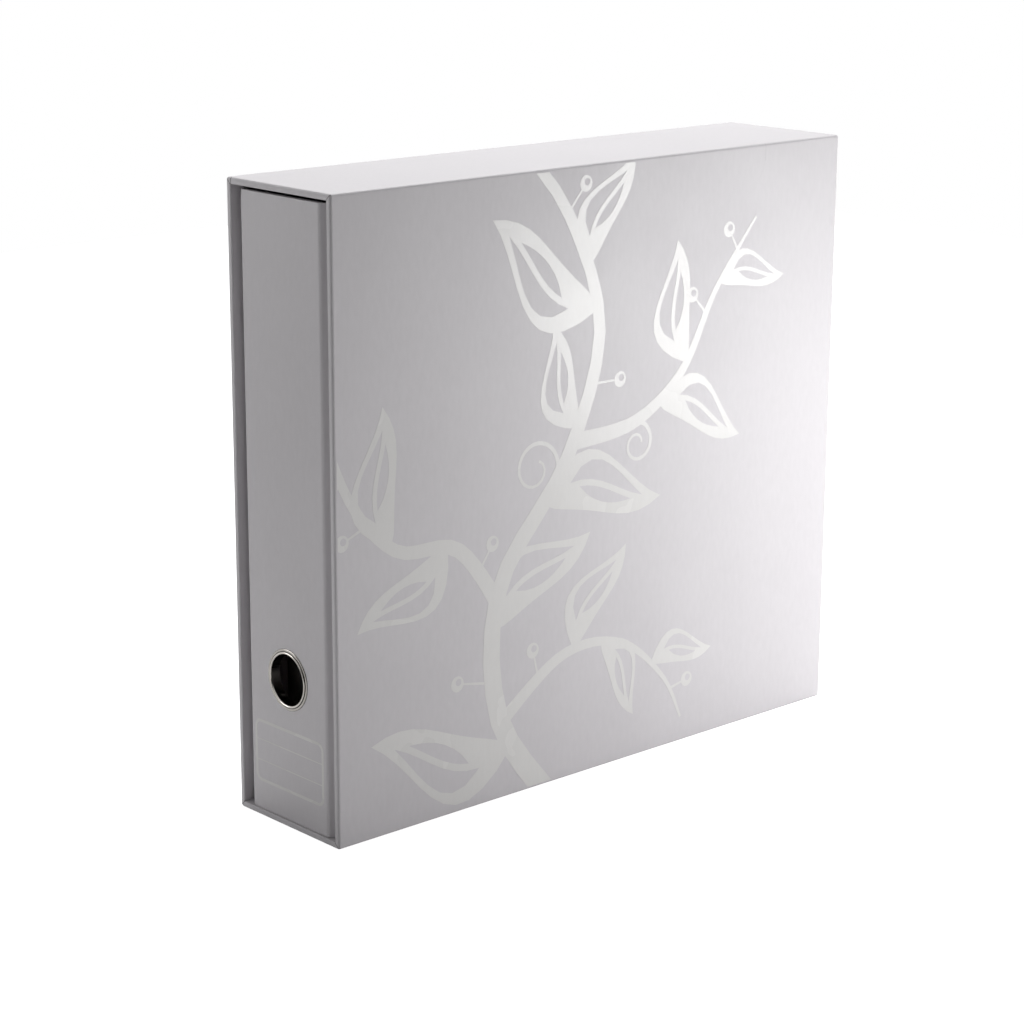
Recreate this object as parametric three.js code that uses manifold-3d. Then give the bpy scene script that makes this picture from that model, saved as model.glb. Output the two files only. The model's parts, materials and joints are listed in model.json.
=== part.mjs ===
// Slipcase ring binder: a wrapped board slipcase, open at one narrow side, with a ring binder
// standing in it. The binder has a finger ring in its spine and a four-ring D mechanism
// riveted to the inside of its back cover.
//
// Millimetres, +Z up. The origin is the middle of the slipcase's underside. X runs through the
// thickness, the mouth and the binder's spine face -Y, the closed end faces +Y, and the
// decorated side faces +X.
import * as THREE from 'three';
import { mergeVertices } from 'three/addons/utils/BufferGeometryUtils.js';
import Module from 'manifold-3d';

const wasm = await Module();
wasm.setup();

// Slipcase
const CASE_THICKNESS = 80;
const CASE_DEPTH = 350;
const CASE_HEIGHT = 320;
const CASE_BOARD = 2.5;
const CASE_PAPER = 0.35;
const CASE_LINING = 0.35;
const CASE_TURN_IN = 16;
const CASE_EDGE_RADIUS = 1.2;
const BOARD_EDGE_RADIUS = 1.3;
const CORNER_EXTRA_RADIUS = 0.2;
const MOUTH_FOLD = 0.3;
const PAPER_JOINT_GAP = 0.3;
const EDGE_STEPS = 3;
const BOARD_EDGE_STEPS = 1;
const PASTED_EDGE_STEPS = 2;

// How the binder sits in the slipcase
const SIDE_CLEARANCE = 0.6;
const FLOOR_CLEARANCE = 0.3;
const TOP_CLEARANCE = 2.0;
const SPINE_RECESS = 1.1;
const FORE_EDGE_CLEARANCE = 1.8;

// Binder covers and spine
const COVER_BOARD = 2.4;
const COVER_PAPER = 0.3;
const COVER_LINING = 0.3;
const COVER_TURN_IN = 15;
const LINING_MARGIN = 4;
const HINGE_BEVEL = 6.2;

// Finger ring in the spine
const FINGER_HOLE_RADIUS = 13.0;
const FINGER_BARREL = 0.6;
const FINGER_FLANGE_RADIUS = 15.7;
const FINGER_RIM_PROUD = 0.9;
const FINGER_RING_HEIGHT = 77;
const FINGER_FIT = 0.3;
const COLLAR_RADIUS = 17;
const COLLAR_THICKNESS = 0.7;
const RING_SEGMENTS = 48;
// The rolled rim, as (out from the hole, share of its stand above the spine)
const FINGER_ROLL = [[0, 0.15], [0.15, 0.7], [0.55, 1], [1.05, 0.85], [1.3, 0.5]];
// The flange's edge, as (in from its radius, share of the rim's stand)
const FINGER_FLANGE_EDGE = [[0.6, 0.5], [0.15, 0.3]];
// The curl behind the collar, as (out from the barrel, beyond the collar)
const FINGER_CURL = [[1.2, 0], [1.0, 0.6], [-0.1, 0.8], [-FINGER_BARREL, 0.3]];
// The collar's rounded edge, as (in from its radius, share of its thickness)
const COLLAR_EDGE = [[0.2, 0.5], [0.8, 1]];

// Ring mechanism
const RING_COUNT = 4;
const RING_PITCH = 80;
const HOUSING_FROM_SPINE = 20;
const HOUSING_WIDTH = 26;
const HOUSING_LENGTH = 266;
const HOUSING_SHEET = 0.8;
const HOUSING_SIDE = 6.4;
const HOUSING_CROWN = 9.8;
const HOUSING_LIP = 1.6;
const HOUSING_ARC_STEPS = 10;
const BLADE_THICKNESS = 1.0;
const BLADE_PIVOT_HEIGHT = 5.0;
const BLADE_SIDE_GAP = 0.4;
const BLADE_MIDDLE_GAP = 0.4;
const BLADE_CLOSED_TILT = THREE.MathUtils.degToRad(5);
const BLADE_END_SETBACK = 8;
const PLAY = 0.3;

// Rings
const WIRE_RADIUS = 1.9;
const RING_FOOT = 8.5;
const RING_SPLIT_HEIGHT = 45;
const RING_TOP_HEIGHT = 54;
const RING_BELLY = 16.5;
const RING_SHOULDER_HEIGHT = 24;
const RING_NECK = 5;
const RING_NOTCH = 1.3;
const RING_GAP = 0.3;
const WIRE_SIDES = 10;
const ARCH_STEPS = 22;
const SLOT_PLAY = 0.7;
const SLOT_SWING = 1.0;
const RING_CROWN_SHIFT = 4.1;
const RING_NECK_EASE = 4;
const RING_SHOULDER_EASE = 6;
const RING_CROWN_EASE = 7;
const RING_TIP_EASE = 8;
const RING_TIP_DROP = 2;
const RING_TIP_DEPTH = 4;

// Rivets that hold the mechanism to the back cover
const RIVET_SPACING = 160;
const RIVET_SHANK_RADIUS = 2.2;
const RIVET_HEAD_RADIUS = 4.2;
const RIVET_HEAD_HEIGHT = 1.3;
const RIVET_FOOT_RADIUS = 5;
const RIVET_FOOT_HEIGHT = 0.7;
const RIVET_FOOT_PLAY = 0.1;
// The dome of the head, as (share of its radius, share of its height)
const RIVET_DOME = [[0.85, 0.6], [0.5, 0.9]];

// Opening levers
const LEVER_PIN_RADIUS = 1.2;
const LEVER_PIN_HEIGHT = 4.2;
const LEVER_PIN_SETBACK = 3.5;
const LEVER_HUB_RADIUS = 2.6;
const LEVER_WIDTH = 9;
const LEVER_PAD_WIDTH = 17;
const LEVER_PAD_START = 15;
const LEVER_HEIGHT = 27;
const LEVER_SHEET = 1.6;
const LEVER_TONGUE_WIDTH = 6;
const LEVER_TONGUE_REACH = 5.4;
const LEVER_TONGUE = 1.0;
const LEVER_UPPER_PLAY = 0.8;
const LEVER_ARM_GAP = 0.7;
const LEVER_FOOT_HALF = 1.3;
const LEVER_PAD_OVERLAP = 1;
// The thumb pad's turned-out edge, as (out from the arm's outer face, down from the top)
const LEVER_PAD_OUTSIDE = [[1.2, 4], [3, 0], [1.4, -0.6]];
const LEVER_PAD_INSIDE = [1.0, 3.2];

// Print on the decorated side and on the spine
const PRINT_FILM = 0.06;
const LABEL_WIDTH = 55;
const LABEL_HEIGHT = 33;
const LABEL_BOTTOM = 18;
const LABEL_LINE = 1.6;
const LABEL_RULE = 0.6;
const LABEL_RULE_COUNT = 2;
const LABEL_RADIUS = 4.5;
const LABEL_CORNER_STEPS = 5;
const PRINT_CURVE_STEPS = 6;
const LEAF_LEAN = 0.85;
const LEAF_UPPER_SHARE = 0.52;
const LEAF_LOWER_SHARE = 0.44;
const LEAF_FULLNESS = 0.8;
const LEAF_SWAY = 0.09;
const LEAF_SWAY_HALF_TURNS = 1.6;
// The open fields of a leaf, as (start and end along it, middle across it, rise and fall)
const LEAF_WIDE_FIELD = [0.22, 0.84, 0.05, 0.33, 0];
const LEAF_NARROW_FIELD = [0.30, 0.74, -0.05, 0, 0.22];
const LEAF_STEPS = 11;
const VOID_STEPS = 7;
const STEM_STEPS = 24;
const PRINT_MARGIN = 1.6;
const BERRY_RADIUS = 4.2;
const BERRY_EYE_RADIUS = 1.9;
const BERRY_ARC_STEPS = 7;
const BERRY_LEAN = 1.25;
const BERRY_EYE_SHIFT = 0.8;
const BERRY_STALK_WIDTHS = [1.6, 1.0];
const BERRY_STALK_OVERLAP = 0.6;
const TENDRIL_TURNS = 1.3;
const TENDRIL_WIDTHS = [2.6, 1.3];
const TENDRIL_LEAN = 1.4;
const TENDRIL_CLOSING = 0.72;
const TENDRIL_STEPS = 14;

// How the solids are made
const CORNERS_PER_MM = 1e4;
const WELD_DISTANCE = 1e-5;
const BORE_SIDES = 16;
const HUB_SIDES = 24;
const OVERRUN = 5;

// Sizes that follow
const CASE_WALL = CASE_PAPER + CASE_BOARD + CASE_LINING;
const MOUTH_Y = -CASE_DEPTH / 2;
const CLOSED_Y = CASE_DEPTH / 2;
const BINDER_HALF = CASE_THICKNESS / 2 - CASE_WALL - SIDE_CLEARANCE;
const BINDER_BOTTOM = CASE_WALL + FLOOR_CLEARANCE;
const BINDER_TOP = CASE_HEIGHT - CASE_WALL - TOP_CLEARANCE;
const BINDER_MIDDLE = (BINDER_BOTTOM + BINDER_TOP) / 2;
const SPINE_Y = MOUTH_Y + SPINE_RECESS;
const FORE_EDGE_Y = CLOSED_Y - CASE_WALL - FORE_EDGE_CLEARANCE;
const SPINE_HALF = BINDER_HALF - HINGE_BEVEL;
const COVER_START_Y = SPINE_Y + HINGE_BEVEL;
const COVER_THICKNESS = 2 * COVER_PAPER + COVER_BOARD + COVER_LINING;
const INSIDE_HALF = BINDER_HALF - COVER_THICKNESS;
const SPINE_INSIDE_Y = SPINE_Y + COVER_THICKNESS;
const BARREL_RADIUS = FINGER_HOLE_RADIUS + FINGER_BARREL;
const SPINE_HOLE_RADIUS = BARREL_RADIUS + FINGER_FIT;
const HOUSING_HALF = HOUSING_WIDTH / 2;
const MECHANISM_Y = SPINE_Y + HOUSING_FROM_SPINE + HOUSING_HALF;
const HOUSING_END = HOUSING_LENGTH / 2;
const BLADE_PIVOT = HOUSING_HALF - HOUSING_SHEET - BLADE_SIDE_GAP - BLADE_THICKNESS / 2;
const BLADE_END = HOUSING_END - BLADE_END_SETBACK;
const LEVER_PIN_Z = HOUSING_END - LEVER_PIN_SETBACK;

// Finishes
const paper = (name, color, roughness) => new THREE.MeshStandardMaterial({ name, color, roughness });
const CASE_PAPER_FINISH = paper('satin_paper', 0xd9d7da, 0.45);
const LINING_FINISH = paper('lining_paper', 0xcfced2, 0.8);
const BOARD_FINISH = paper('grey_board', 0x9a968d, 0.95);
const PRINT_FINISH = paper('gloss_print', 0xe9e7e6, 0.2);
const NICKEL_FINISH = new THREE.MeshStandardMaterial({
  name: 'nickel', color: 0xc8c6c2, roughness: 0.15, metalness: 1,
});

// Axes of a drawn profile: where its own x, y and depth point
const ALONG_Z = new THREE.Matrix4();
const ALONG_X = new THREE.Matrix4().makeBasis(
  new THREE.Vector3(0, 1, 0), new THREE.Vector3(0, 0, 1), new THREE.Vector3(1, 0, 0),
);
const ALONG_MINUS_Y = new THREE.Matrix4().makeBasis(
  new THREE.Vector3(1, 0, 0), new THREE.Vector3(0, 0, 1), new THREE.Vector3(0, -1, 0),
);
// For the mechanism, drawn as (across, height): height leaves the cover along +X
const MECHANISM_SECTION = new THREE.Matrix4().makeBasis(
  new THREE.Vector3(0, 1, 0), new THREE.Vector3(1, 0, 0), new THREE.Vector3(0, 0, -1),
);
// For the levers, drawn as (along the mechanism, height)
const LEVER_SECTION = new THREE.Matrix4().makeBasis(
  new THREE.Vector3(0, 0, 1), new THREE.Vector3(1, 0, 0), new THREE.Vector3(0, 1, 0),
);

// A closed geometry as a solid, moved to a place given as [x, y, z]. Its corners are kept to
// a ten-thousandth, so that faces that meet lie at the same numbers.
function solid(geometry, place = [0, 0, 0]) {
  const bare = new THREE.BufferGeometry();
  const source = geometry.attributes.position.array;
  const placed = Array.from(source, (value, i) => {
    const moved = value + place[i % 3];
    return Math.round(moved * CORNERS_PER_MM) / CORNERS_PER_MM;
  });
  bare.setAttribute('position', new THREE.Float32BufferAttribute(placed, 3));
  bare.setIndex(geometry.index);
  const welded = mergeVertices(bare, WELD_DISTANCE);
  const corners = welded.index.array;
  const triangles = [];
  for (let i = 0; i < corners.length; i += 3) {
    const [a, b, c] = corners.slice(i, i + 3);
    if (a !== b && b !== c && c !== a) {
      triangles.push(a, b, c);
    }
  }
  return new wasm.Manifold(new wasm.Mesh({
    numProp: 3,
    vertProperties: welded.attributes.position.array,
    triVerts: new Uint32Array(triangles),
  }));
}

function geometryOf(body) {
  const mesh = body.getMesh();
  const indexed = new THREE.BufferGeometry();
  indexed.setAttribute('position', new THREE.BufferAttribute(mesh.vertProperties, 3));
  indexed.setIndex(new THREE.BufferAttribute(mesh.triVerts, 1));
  const geometry = indexed.toNonIndexed();
  geometry.computeVertexNormals();
  return geometry;
}

function piece(name, body, finish) {
  const mesh = new THREE.Mesh(geometryOf(body), finish);
  mesh.name = name;
  return mesh;
}

function outline(points) {
  return new THREE.Shape(points.map(([a, b]) => new THREE.Vector2(a, b)));
}

function extruded(shape, depth, axes, place, options = {}) {
  const geometry = new THREE.ExtrudeGeometry(shape, { depth, bevelEnabled: false, ...options });
  return solid(geometry.applyMatrix4(axes), place);
}

function block(x0, x1, y0, y1, z0, z1) {
  const geometry = new THREE.BoxGeometry(x1 - x0, y1 - y0, z1 - z0);
  return solid(geometry, [(x0 + x1) / 2, (y0 + y1) / 2, (z0 + z1) / 2]);
}

function prismZ(points, z0, z1) {
  return extruded(outline(points), z1 - z0, ALONG_Z, [0, 0, z0]);
}

// A round bar along X, from x0 to x1
function barX(radius, x0, x1, y, z, sides = BORE_SIDES) {
  const bar = new THREE.CylinderGeometry(radius, radius, x1 - x0, sides).rotateZ(-Math.PI / 2);
  return solid(bar, [(x0 + x1) / 2, y, z]);
}

function roundedRectangle(halfWidth, z0, z1, radius) {
  const shape = new THREE.Shape();
  shape.moveTo(-halfWidth + radius, z0);
  shape.lineTo(halfWidth - radius, z0);
  shape.absarc(halfWidth - radius, z0 + radius, radius, -Math.PI / 2, 0);
  shape.lineTo(halfWidth, z1 - radius);
  shape.absarc(halfWidth - radius, z1 - radius, radius, 0, Math.PI / 2);
  shape.lineTo(-halfWidth + radius, z1);
  shape.absarc(-halfWidth + radius, z1 - radius, radius, Math.PI / 2, Math.PI);
  shape.lineTo(-halfWidth, z0 + radius);
  shape.absarc(-halfWidth + radius, z0 + radius, radius, Math.PI, Math.PI * 1.5);
  return shape;
}

// A block of the slipcase's form, set in from its outer faces, with rounded edges
function roundedBlock(inset, radius, segments) {
  const shape = roundedRectangle(
    CASE_THICKNESS / 2 - inset, inset, CASE_HEIGHT - inset, radius + CORNER_EXTRA_RADIUS,
  );
  const depth = CASE_DEPTH - 2 * inset - 2 * radius;
  return extruded(shape, depth, ALONG_MINUS_Y, [0, CLOSED_Y - inset - radius, 0], {
    bevelEnabled: true, bevelSize: radius, bevelThickness: radius, bevelOffset: -radius,
    bevelSegments: segments, curveSegments: segments,
  });
}

// The slipcase's hollow at a depth inside its outer faces, from y0 to the closed end
function caseHollow(inset, y0) {
  const half = CASE_THICKNESS / 2 - inset;
  return block(-half, half, y0, CLOSED_Y - inset, inset, CASE_HEIGHT - inset);
}

const BEYOND_MOUTH = MOUTH_Y - OVERRUN;

function slipcaseBoard() {
  const hollow = caseHollow(CASE_PAPER + CASE_BOARD, BEYOND_MOUTH);
  return roundedBlock(CASE_PAPER, BOARD_EDGE_RADIUS, BOARD_EDGE_STEPS).subtract(hollow);
}

// One sheet round the outside of the board, over the mouth's edge and a short way back inside
function slipcaseWrap() {
  const boardSpace = roundedBlock(CASE_PAPER, CASE_EDGE_RADIUS - CASE_PAPER, PASTED_EDGE_STEPS)
    .subtract(caseHollow(CASE_PAPER + CASE_BOARD, BEYOND_MOUTH));
  const behindTurnIn = caseHollow(CASE_PAPER + CASE_BOARD, MOUTH_Y + CASE_TURN_IN);
  const opening = caseHollow(CASE_WALL, BEYOND_MOUTH);
  return roundedBlock(0, CASE_EDGE_RADIUS, EDGE_STEPS)
    .subtract(boardSpace)
    .subtract(behindTurnIn)
    .subtract(opening)
    .subtract(mouthFlare());
}

// The folded paper's small slope round the inside of the mouth
function mouthFlare() {
  const half = CASE_THICKNESS / 2 - CASE_WALL;
  const shape = outline([
    [-half, CASE_WALL], [half, CASE_WALL],
    [half, CASE_HEIGHT - CASE_WALL], [-half, CASE_HEIGHT - CASE_WALL],
  ]);
  return extruded(shape, MOUTH_FOLD, ALONG_MINUS_Y, [0, MOUTH_Y, 0], {
    bevelEnabled: true, bevelSize: MOUTH_FOLD, bevelThickness: MOUTH_FOLD, bevelSegments: 1,
  });
}

function slipcaseLining() {
  const start = MOUTH_Y + CASE_TURN_IN + PAPER_JOINT_GAP;
  return caseHollow(CASE_PAPER + CASE_BOARD, start).subtract(caseHollow(CASE_WALL, BEYOND_MOUTH));
}

// Half of the binder's inner contour, from the fore edge to the middle of the spine. At inset
// zero it lies on the boards, and on the paper where the hinge has no board.
function innerContour(inset, openEndY) {
  const coverX = BINDER_HALF - COVER_PAPER - COVER_BOARD - inset;
  const paperRise = (COVER_PAPER + inset) * Math.SQRT2;
  const coverEdgeY = COVER_START_Y - inset;
  const spineEdgeX = SPINE_HALF + inset;
  return [
    [coverX, openEndY],
    [coverX, coverEdgeY],
    [BINDER_HALF - inset - paperRise, coverEdgeY],
    [spineEdgeX, SPINE_Y + inset + paperRise],
    [spineEdgeX, SPINE_Y + COVER_PAPER + COVER_BOARD + inset],
  ];
}

function mirroredX(points) {
  return points.map(([x, y]) => [-x, y]).reverse();
}

function binderHollow(inset, openEndY, z0, z1) {
  const half = innerContour(inset, openEndY);
  return prismZ([...mirroredX(half), ...half], z0, z1);
}

function binderOuter(z0, z1) {
  const half = [
    [BINDER_HALF, FORE_EDGE_Y], [BINDER_HALF, COVER_START_Y], [SPINE_HALF, SPINE_Y],
  ];
  return prismZ([...mirroredX(half), ...half], z0, z1);
}

const BEYOND_FORE_EDGE = FORE_EDGE_Y + OVERRUN;

function fingerHole() {
  const length = 2 * (COVER_THICKNESS + OVERRUN);
  const cutter = new THREE.CylinderGeometry(
    SPINE_HOLE_RADIUS, SPINE_HOLE_RADIUS, length, RING_SEGMENTS,
  );
  return solid(cutter, [0, SPINE_Y, FINGER_RING_HEIGHT]);
}

function rivetHeights() {
  return [-RIVET_SPACING / 2, RIVET_SPACING / 2];
}

// A round bar through the back cover at each rivet
function rivetBores(radius, x0, x1) {
  const bores = rivetHeights()
    .map((height) => barX(radius, x0, x1, MECHANISM_Y, BINDER_MIDDLE + height));
  return bores[0].add(bores[1]);
}

function spineBoard() {
  const y0 = SPINE_Y + COVER_PAPER;
  const board = block(
    -SPINE_HALF, SPINE_HALF, y0, y0 + COVER_BOARD,
    BINDER_BOTTOM + COVER_PAPER, BINDER_TOP - COVER_PAPER,
  );
  return board.subtract(fingerHole());
}

// side is +1 for the front cover and -1 for the back cover
function coverBoard(side) {
  const faces = [side * (BINDER_HALF - COVER_PAPER), side * (BINDER_HALF - COVER_PAPER - COVER_BOARD)];
  return block(
    Math.min(...faces), Math.max(...faces), COVER_START_Y, FORE_EDGE_Y - COVER_PAPER,
    BINDER_BOTTOM + COVER_PAPER, BINDER_TOP - COVER_PAPER,
  );
}

function backCoverBoard() {
  const outerFace = -BINDER_HALF + COVER_PAPER;
  const footSpace = outerFace + RIVET_FOOT_HEIGHT + PLAY;
  return coverBoard(-1)
    .subtract(rivetBores(RIVET_SHANK_RADIUS + PLAY, outerFace - OVERRUN, -INSIDE_HALF))
    .subtract(rivetBores(RIVET_FOOT_RADIUS + PLAY, outerFace - OVERRUN, footSpace));
}

// One sheet over both covers, the hinges and the spine, turned in along every edge
function coverWrap() {
  const outside = binderOuter(BINDER_BOTTOM, BINDER_TOP)
    .subtract(binderHollow(
      COVER_PAPER, BEYOND_FORE_EDGE, BINDER_BOTTOM - OVERRUN, BINDER_TOP + OVERRUN,
    ));
  const window = binderHollow(
    0, FORE_EDGE_Y - COVER_TURN_IN, BINDER_BOTTOM + COVER_TURN_IN, BINDER_TOP - COVER_TURN_IN,
  );
  const spineSpace = block(
    -SPINE_HALF, SPINE_HALF, SPINE_Y + COVER_PAPER, SPINE_Y + COVER_PAPER + COVER_BOARD,
    BINDER_BOTTOM + COVER_PAPER, BINDER_TOP - COVER_PAPER,
  );
  return outside
    .subtract(window)
    .subtract(spineSpace)
    .subtract(coverBoard(1))
    .subtract(coverBoard(-1))
    .subtract(fingerHole());
}

// The inside sheet, pasted over the boards and the turned-in edges
function coverLining() {
  const onBoards = binderHollow(
    0, FORE_EDGE_Y - COVER_TURN_IN, BINDER_BOTTOM + COVER_TURN_IN, BINDER_TOP - COVER_TURN_IN,
  );
  const overTurnIns = binderHollow(
    COVER_PAPER, FORE_EDGE_Y - LINING_MARGIN, BINDER_BOTTOM + LINING_MARGIN, BINDER_TOP - LINING_MARGIN,
  );
  const inside = binderHollow(
    COVER_PAPER + COVER_LINING, BEYOND_FORE_EDGE, BINDER_BOTTOM - OVERRUN, BINDER_TOP + OVERRUN,
  );
  const underMechanism = -INSIDE_HALF + OVERRUN;
  return onBoards
    .add(overTurnIns)
    .subtract(inside)
    .subtract(fingerHole())
    .subtract(rivetBores(RIVET_SHANK_RADIUS + PLAY, -BINDER_HALF, underMechanism));
}

// A profile of (radius, y) turned about the Y axis, closed on itself unless it meets the axis
function turned(profile, segments) {
  const points = profile.map(([radius, y]) => new THREE.Vector2(radius, y));
  if (points[0].x > 0) {
    points.push(points[0]);
  }
  return new THREE.LatheGeometry(points, segments);
}

// The eyelet's section as (radius, depth from the spine's face): flange, rolled rim, barrel
// and the curl that closes over the collar
function fingerRing() {
  const curlStart = COVER_THICKNESS + COLLAR_THICKNESS + PLAY;
  const eyelet = turned([
    [FINGER_FLANGE_RADIUS, 0],
    [BARREL_RADIUS, 0],
    [BARREL_RADIUS, curlStart],
    ...FINGER_CURL.map(([out, beyond]) => [BARREL_RADIUS + out, curlStart + beyond]),
    ...FINGER_ROLL.map(([out, share]) => [FINGER_HOLE_RADIUS + out, -share * FINGER_RIM_PROUD]),
    ...FINGER_FLANGE_EDGE.map(([back, share]) => [
      FINGER_FLANGE_RADIUS - back, -share * FINGER_RIM_PROUD,
    ]),
  ], RING_SEGMENTS);
  return solid(eyelet, [0, SPINE_Y, FINGER_RING_HEIGHT]);
}

function fingerRingCollar() {
  const washer = turned([
    [BARREL_RADIUS + FINGER_FIT, 0],
    [COLLAR_RADIUS, 0],
    ...COLLAR_EDGE.map(([back, share]) => [COLLAR_RADIUS - back, share * COLLAR_THICKNESS]),
    [BARREL_RADIUS + FINGER_FIT, COLLAR_THICKNESS],
  ], RING_SEGMENTS);
  return solid(washer, [0, SPINE_INSIDE_Y, FINGER_RING_HEIGHT]);
}

// Height of the housing's crown over the blades at a place across it, from edge to crown
function crownHeight(across, halfWidth, edge, crown) {
  const share = across / halfWidth;
  return crown - (crown - edge) * share * share;
}

function crownArc(halfWidth, edge, crown) {
  return Array.from({ length: HOUSING_ARC_STEPS + 1 }, (_, step) => {
    const across = halfWidth * (2 * step / HOUSING_ARC_STEPS - 1);
    return [across, crownHeight(across, halfWidth, edge, crown)];
  });
}

// The housing's sheet: two side walls, each with a lip that carries a blade's edge, and a crown
function housingSection() {
  const inner = HOUSING_HALF - HOUSING_SHEET;
  const ledgeTop = BLADE_PIVOT_HEIGHT - BLADE_THICKNESS / 2 - PLAY;
  const ledgeBottom = ledgeTop - HOUSING_SHEET;
  const ledgeTip = inner - HOUSING_LIP;
  const rightWall = [
    [HOUSING_HALF, 0], [inner, 0], [inner, ledgeBottom], [ledgeTip, ledgeBottom],
    [ledgeTip, ledgeTop], [inner, ledgeTop],
  ];
  const outside = crownArc(HOUSING_HALF, HOUSING_SIDE, HOUSING_CROWN);
  const inside = crownArc(inner, HOUSING_SIDE - HOUSING_SHEET, HOUSING_CROWN - HOUSING_SHEET);
  return [...outside, ...rightWall, ...inside.reverse(), ...mirroredX(rightWall)];
}

function acrossMechanism(points, z0, z1) {
  return extruded(outline(points), z1 - z0, MECHANISM_SECTION, [0, 0, z1]);
}

function ringHeights() {
  return Array.from({ length: RING_COUNT }, (_, index) => (index - (RING_COUNT - 1) / 2) * RING_PITCH);
}

// A slot in the crown on each side of every ring, and the holes for rivets and lever pins
function ringHousing() {
  let body = acrossMechanism(housingSection(), -HOUSING_END, HOUSING_END);
  const slotHalf = WIRE_RADIUS + SLOT_PLAY;
  const slotFoot = BLADE_PIVOT_HEIGHT + BLADE_THICKNESS;
  ringHeights().forEach((height) => {
    [-1, 1].forEach((side) => {
      const ends = [side * (RING_FOOT - slotHalf), side * (RING_FOOT + slotHalf + SLOT_SWING)];
      body = body.subtract(block(
        slotFoot, HOUSING_CROWN + OVERRUN, Math.min(...ends), Math.max(...ends),
        height - slotHalf, height + slotHalf,
      ));
    });
  });
  rivetHeights().forEach((height) => {
    body = body.subtract(barX(RIVET_SHANK_RADIUS + PLAY, 0, HOUSING_CROWN + OVERRUN, 0, height));
  });
  [-1, 1].forEach((end) => {
    const bore = new THREE.CylinderGeometry(
      LEVER_PIN_RADIUS + PLAY, LEVER_PIN_RADIUS + PLAY, HOUSING_WIDTH + OVERRUN, BORE_SIDES,
    );
    body = body.subtract(solid(bore, [LEVER_PIN_HEIGHT, 0, end * LEVER_PIN_Z]));
  });
  return body;
}

// side is +1 on the page side and -1 on the spine side. A closed blade slopes down to the middle.
function blade(side) {
  const length = BLADE_PIVOT - BLADE_MIDDLE_GAP;
  const half = BLADE_THICKNESS / 2;
  const cos = Math.cos(BLADE_CLOSED_TILT);
  const sin = Math.sin(BLADE_CLOSED_TILT);
  const place = (reach, rise) => [
    side * (BLADE_PIVOT - reach * cos - rise * sin),
    BLADE_PIVOT_HEIGHT - reach * sin + rise * cos,
  ];
  const section = [place(-half, -half), place(length, -half), place(length, half), place(-half, half)];
  let body = acrossMechanism(section, -BLADE_END, BLADE_END);
  rivetHeights().forEach((height) => {
    body = body.subtract(barX(RIVET_SHANK_RADIUS + 2 * PLAY, 0, HOUSING_CROWN, 0, height));
  });
  return body;
}

const RING_FOOT_HEIGHT = BLADE_PIVOT_HEIGHT + BLADE_THICKNESS / 2 + PLAY;

// A roof that runs along the rings' own swing, so that the tips lock sideways and part freely
function tipRoof(grow) {
  const reach = 2 * WIRE_RADIUS;
  const base = RING_SPLIT_HEIGHT - RING_NOTCH - RING_TIP_DEPTH;
  const eaves = RING_SPLIT_HEIGHT - RING_NOTCH * reach / WIRE_RADIUS + grow;
  const points = [
    [-reach, base], [reach, base], [reach, eaves], [0, RING_SPLIT_HEIGHT + grow], [-reach, eaves],
  ];
  return extruded(outline(points), 4 * reach, LEVER_SECTION, [0, RING_FOOT - 2 * reach, 0]);
}

// The straight half of a ring, on the page side
function ringPost() {
  const post = barX(WIRE_RADIUS, RING_FOOT_HEIGHT, RING_SPLIT_HEIGHT, RING_FOOT, 0, WIRE_SIDES);
  const reach = 2 * WIRE_RADIUS;
  const lower = block(
    0, RING_SPLIT_HEIGHT - 2 * RING_NOTCH, RING_FOOT - reach, RING_FOOT + reach, -reach, reach,
  );
  return post.intersect(tipRoof(0).add(lower));
}

// The bowed half of a ring, from the spine-side blade over to the post's tip
function ringArch() {
  const at = (across, height) => new THREE.Vector3(height, across, 0);
  const neckTop = RING_FOOT_HEIGHT + RING_NECK;
  const bellyTop = RING_TOP_HEIGHT - RING_BELLY;
  const crownMiddle = -RING_CROWN_SHIFT;
  const path = new THREE.CurvePath();
  path.add(new THREE.LineCurve3(at(-RING_FOOT, RING_FOOT_HEIGHT), at(-RING_FOOT, neckTop)));
  path.add(new THREE.CubicBezierCurve3(
    at(-RING_FOOT, neckTop), at(-RING_FOOT, neckTop + RING_NECK_EASE),
    at(-RING_BELLY, RING_SHOULDER_HEIGHT - RING_SHOULDER_EASE), at(-RING_BELLY, RING_SHOULDER_HEIGHT),
  ));
  path.add(new THREE.LineCurve3(at(-RING_BELLY, RING_SHOULDER_HEIGHT), at(-RING_BELLY, bellyTop)));
  path.add(new THREE.CubicBezierCurve3(
    at(-RING_BELLY, bellyTop), at(-RING_BELLY, RING_TOP_HEIGHT - RING_SHOULDER_EASE),
    at(crownMiddle - RING_CROWN_EASE, RING_TOP_HEIGHT), at(crownMiddle, RING_TOP_HEIGHT),
  ));
  path.add(new THREE.CubicBezierCurve3(
    at(crownMiddle, RING_TOP_HEIGHT), at(crownMiddle + RING_TIP_EASE, RING_TOP_HEIGHT),
    at(RING_FOOT, RING_TOP_HEIGHT - RING_TIP_DROP), at(RING_FOOT, RING_SPLIT_HEIGHT),
  ));
  const tipHeight = RING_SPLIT_HEIGHT - RING_NOTCH;
  path.add(new THREE.LineCurve3(at(RING_FOOT, RING_SPLIT_HEIGHT), at(RING_FOOT, tipHeight)));
  const circle = new THREE.Shape();
  circle.absarc(0, 0, WIRE_RADIUS, 0, 2 * Math.PI);
  const wire = new THREE.ExtrudeGeometry(circle, {
    extrudePath: path, steps: ARCH_STEPS, curveSegments: WIRE_SIDES / 2,
  });
  return solid(wire).subtract(tipRoof(RING_GAP));
}

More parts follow.
